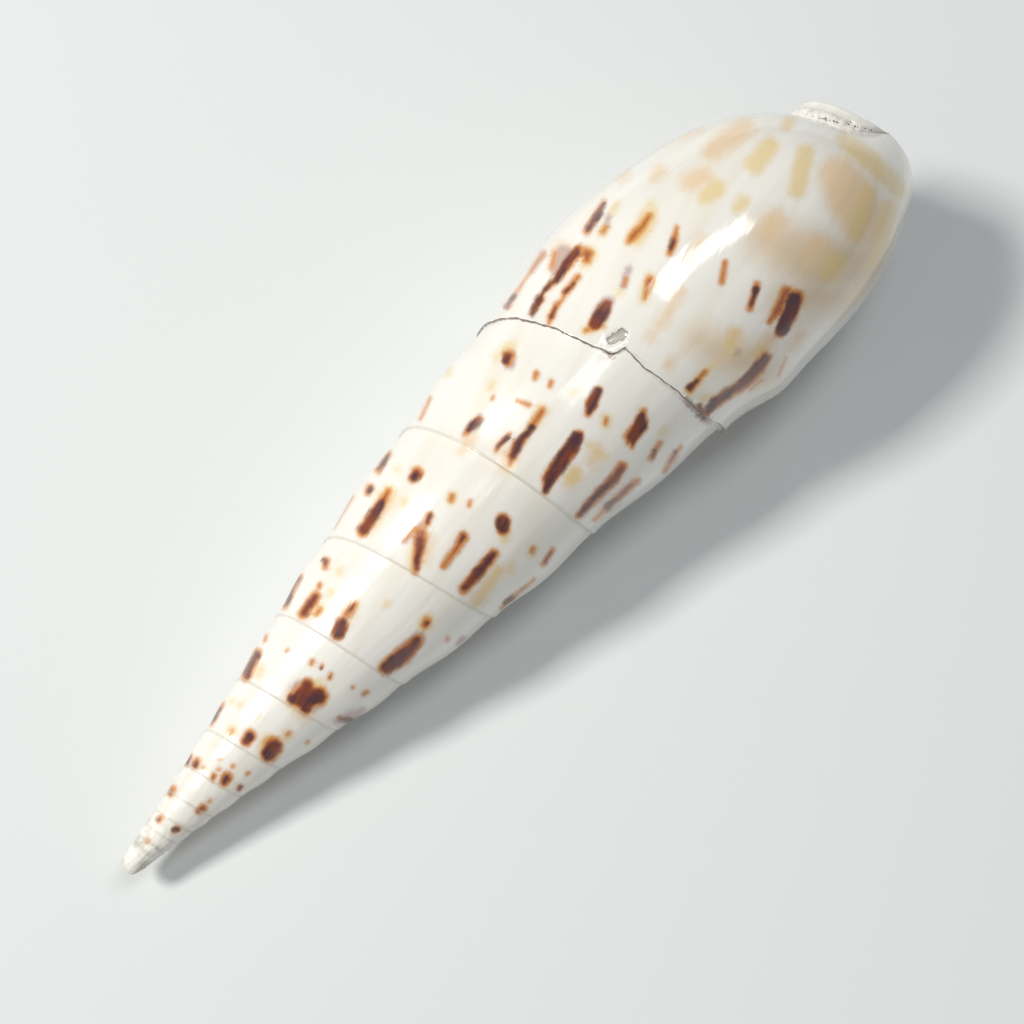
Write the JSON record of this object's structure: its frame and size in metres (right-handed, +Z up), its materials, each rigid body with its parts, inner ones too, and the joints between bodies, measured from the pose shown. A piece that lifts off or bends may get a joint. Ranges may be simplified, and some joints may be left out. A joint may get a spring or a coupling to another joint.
{
  "type": "marlinspike shell",
  "caption": "Long, slender, tapering sea shell with a pointed spire and a narrow aperture, lying with its aperture down.",
  "frame": {"origin": "middle of the shell's footprint on the ground it rests on", "axes": "+X from the apex towards the siphonal end, as seen from above; +Z up from the ground; +Y to the side away from the aperture's outer lip"},
  "size_m": [0.1778, 0.047, 0.0469],
  "materials": {
    "shell": "glossy ivory aragonite with dark brown and tan spots, matt and chalky at the siphonal end"
  },
  "bodies": {
    "root": {"shell": "shell"}
  },
  "joints": []
}
